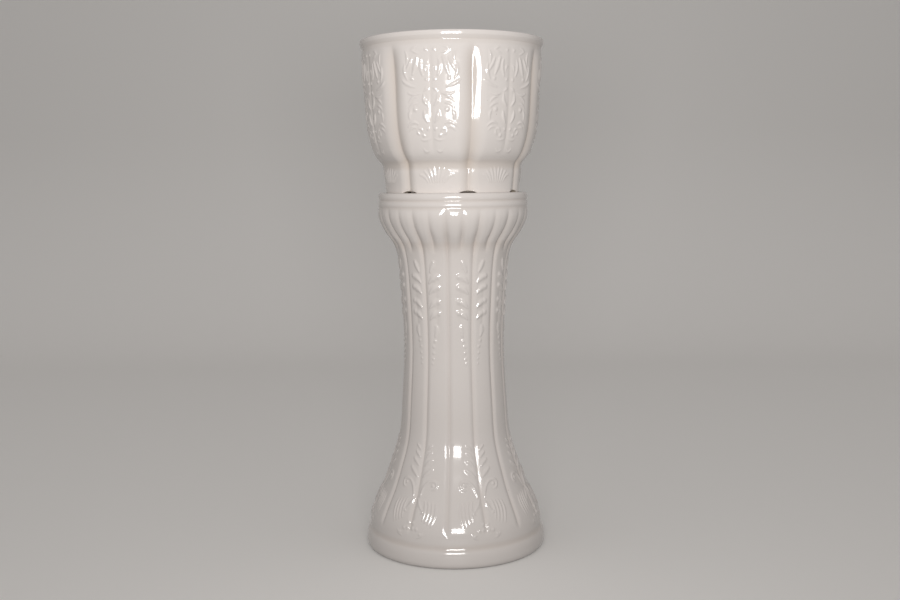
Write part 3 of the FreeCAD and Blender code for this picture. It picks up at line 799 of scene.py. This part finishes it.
def stretch(rows, low, high, every=1):
    """The rows between two heights, ends included: all of them, or one of every so many."""
    first = int(np.argmax(rows[:, 1] >= low))
    last = int(np.argmax(rows[:, 1] >= high)) if high < rows[:, 1].max() else len(rows) - 1
    picked = list(range(first, last, every)) + [last]
    return rows[picked]


wall = wall_tree()
poured = glaze_group()
pot_glaze = glaze_material("pot_glaze", poured, POT_THIN, POT_THICK_AND_SHADE, POT_GLOSS)
stand_glaze = glaze_material("stand_glaze", poured, STAND_THIN, STAND_THICK_AND_SHADE, STAND_GLOSS)
bare_clay = bisque_material()
NO_ORNAMENT = ornament_mesh("plain", bead(0.0, -9000.0, 1.0))
FOLIAGE = ornament_mesh("foliage", pot_ornament())
FRONDS = ornament_mesh("fronds", frond_ornament())

pot_pattern = dict(columns=COLUMNS, crease_azimuth=POT_CREASE_AT, ornament=FOLIAGE,
                   ornament_azimuth=POT_PANEL_AT, relief=POT_RELIEF, foot_height=POT_BASE,
                   arch_height=ARCH_HEIGHT, panel_bow=PANEL_BOW)
pot_rows = pot_wall_rows()
pot_parts = (("jardiniere_neck", 0.0, NECK_TO_BELLY),
             ("jardiniere_belly", NECK_TO_BELLY, BELLY_TO_BRIM),
             ("jardiniere_brim", BELLY_TO_BRIM, ABOVE_ALL))
for name, low, high in pot_parts:
    make_wall(name, wall, stretch(pot_rows, low, high), "jardiniere", "jardiniere", "pot_glaze",
              pot_glaze, **pot_pattern)
make_wall("jardiniere_inside", wall, pot_inside_rows(), "jardiniere", "jardiniere", "pot_glaze",
          pot_glaze)
make_wall("jardiniere_underside", wall, pot_underside_rows(), "jardiniere", "jardiniere",
          "pot_glaze", bare_clay, columns=COLUMNS, crease_azimuth=POT_CREASE_AT,
          panel_bow=PANEL_BOW, foot_height=POT_BASE, arch_height=ARCH_HEIGHT,
          arch_fade=0.8 * FOOT_RECESS)

stand_pattern = dict(columns=COLUMNS, creases=2 * REPEATS, crease_azimuth=STAND_CREASE_AT,
                     crease_bottom=STAND_BOTTOM, ornament=FRONDS, ornament_azimuth=FROND_AT,
                     relief=STAND_RELIEF)
stand_rows = stand_wall_rows()
stand_parts = (("stand_band", 0.0, BAND_TO_SKIRT, 1),
               ("stand_skirt", BAND_TO_SKIRT, SKIRT_TO_SHAFT, 1),
               ("stand_shaft", SKIRT_TO_SHAFT, SHAFT_TO_FROND, SHAFT_SKIP),
               ("stand_frond", SHAFT_TO_FROND, FROND_TO_CAPITAL, 1),
               ("stand_capital", FROND_TO_CAPITAL, CAPITAL_TO_COLLAR, 1),
               ("stand_collar", CAPITAL_TO_COLLAR, ABOVE_ALL, 1))
for name, low, high, every in stand_parts:
    make_wall(name, wall, stretch(stand_rows, low, high, every), "stand", "stand", "stand_glaze",
              stand_glaze, **stand_pattern)
make_wall("stand_inside", wall, stand_inside_rows(), "stand", "stand", "stand_glaze", bare_clay)
for helper in (NO_ORNAMENT, FOLIAGE, FRONDS):
    bpy.data.objects.remove(helper)


# ---------------------------------------------------------------- studio
STUDIO_REACH = 4.0               # half the floor's width, and how far it comes forward
BACKDROP_AT, BACKDROP_TOP, SWEEP_RADIUS, SWEEP_STEPS = 2.2, 3.0, 0.7, 12
STAGE_TONE = (0.83, 0.81, 0.79, 1.0)
FLOOR_BOUNCE = (0.12, 0.11, 0.10, 1.0)
BACKDROP_BOUNCE = (0.70, 0.68, 0.66, 1.0)
WARM_WHITE = (1.0, 0.985, 0.965)
SOFTBOX_AT, SOFTBOX_TARGET = (0.0, -1.64, 0.54), (0.0, 0.0, 0.74)
SOFTBOX_WIDTH, SOFTBOX_HEIGHT = 0.64, 0.28
SOFTBOX_POWER, SOFTBOX_SPREAD = 5.4, 100.0
SURROUND, SURROUND_STRENGTH = (1.0, 0.975, 0.955, 1.0), 0.40


def floor_material(name, bounce):
    """Pale to the eye and in reflections, and of another tone for the light it throws back."""
    material = bpy.data.materials.new(name)
    material.use_nodes = True
    t = Tree(material.node_tree)
    seen = material.node_tree.nodes["Principled BSDF"]
    ends = material.node_tree.nodes["Material Output"]
    ray = t.tree.nodes.new("ShaderNodeLightPath").outputs
    direct = t.math("MAXIMUM", ray["Is Camera Ray"], ray["Is Glossy Ray"])
    direct = t.math("MAXIMUM", direct, ray["Is Transmission Ray"])
    seen.inputs["Base Color"].default_value = STAGE_TONE
    seen.inputs["Roughness"].default_value = 0.6
    seen.inputs["Emission Color"].default_value = (*WARM_WHITE, 1.0)
    seen.inputs["Emission Strength"].default_value = 0.06
    dim = t.add("ShaderNodeBsdfDiffuse", {"Color": bounce})
    mixed = t.add("ShaderNodeMixShader", (direct, dim, seen.outputs["BSDF"]))
    t.link(mixed, ends.inputs["Surface"])
    return material


def studio():
    """A pale floor that sweeps up into a backdrop behind the object."""
    size, back, bend = STUDIO_REACH, BACKDROP_AT, SWEEP_RADIUS
    profile = [(-size, 0.0), (back - bend, 0.0)]
    for k in range(1, SWEEP_STEPS + 1):
        turn = math.pi / 2 * k / SWEEP_STEPS
        profile.append((back - bend + bend * math.sin(turn), bend - bend * math.cos(turn)))
    profile.append((back, BACKDROP_TOP))
    verts = [(x, y, z) for y, z in profile for x in (-size, size)]
    faces = [(2 * i, 2 * i + 1, 2 * i + 3, 2 * i + 2) for i in range(len(profile) - 1)]
    mesh = bpy.data.meshes.new("floor")
    mesh.from_pydata(verts, [], faces)
    mesh.polygons.foreach_set("use_smooth", [True] * len(faces))
    mesh.materials.append(floor_material("pale floor", FLOOR_BOUNCE))
    mesh.materials.append(floor_material("pale backdrop", BACKDROP_BOUNCE))
    mesh.polygons.foreach_set("material_index", [0] + [1] * (len(faces) - 1))
    floor = bpy.data.objects.new("floor", mesh)
    bpy.context.scene.collection.objects.link(floor)


def lamp(name, place, target, width, height, power, spread, colour):
    """A soft panel of light that faces a target; its spread is in degrees."""
    light = bpy.data.lights.new(name, "AREA")
    light.shape = "RECTANGLE"
    light.size = width
    light.size_y = height
    light.energy = power
    light.spread = math.radians(spread)
    light.color = colour
    holder = bpy.data.objects.new(name, light)
    holder.location = place
    holder.rotation_euler = (Vector(target) - Vector(place)).to_track_quat("-Z", "Y").to_euler()
    bpy.context.scene.collection.objects.link(holder)


studio()
lamp("softbox", SOFTBOX_AT, SOFTBOX_TARGET, SOFTBOX_WIDTH, SOFTBOX_HEIGHT, SOFTBOX_POWER,
     SOFTBOX_SPREAD, WARM_WHITE)

world = bpy.data.worlds.new("surround")
bpy.context.scene.world = world
world.use_nodes = True
background = world.node_tree.nodes["Background"]
background.inputs["Color"].default_value = SURROUND
background.inputs["Strength"].default_value = SURROUND_STRENGTH


# ---------------------------------------------------------------- camera
IMAGE_WIDTH, IMAGE_HEIGHT = 900, 600
FOCAL_PIXELS = 1060.0            # focal length in pixels of the photograph's width
EYE_ROW = 180.0                  # pixel row at the height of the camera
AXIS_COLUMN = 452.6              # pixel column of the object's axis
ROLL = math.radians(0.54)
DISTANCE = 1.534
EYE_HEIGHT = 0.532
SENSOR = 36.0

camera = bpy.data.cameras.new("camera")
camera.sensor_width = SENSOR
camera.lens = SENSOR * FOCAL_PIXELS / IMAGE_WIDTH
viewpoint = bpy.data.objects.new("camera", camera)
viewpoint.location = (0.0, -DISTANCE, EYE_HEIGHT)
pitch = math.atan((IMAGE_HEIGHT / 2 - EYE_ROW) / FOCAL_PIXELS)
yaw = math.atan((AXIS_COLUMN - IMAGE_WIDTH / 2) / FOCAL_PIXELS)
viewpoint.rotation_mode = "XYZ"
viewpoint.rotation_euler = (math.pi / 2 - pitch, ROLL, yaw)
bpy.context.scene.collection.objects.link(viewpoint)
bpy.context.scene.camera = viewpoint
bpy.context.scene.view_settings.view_transform = "Standard"
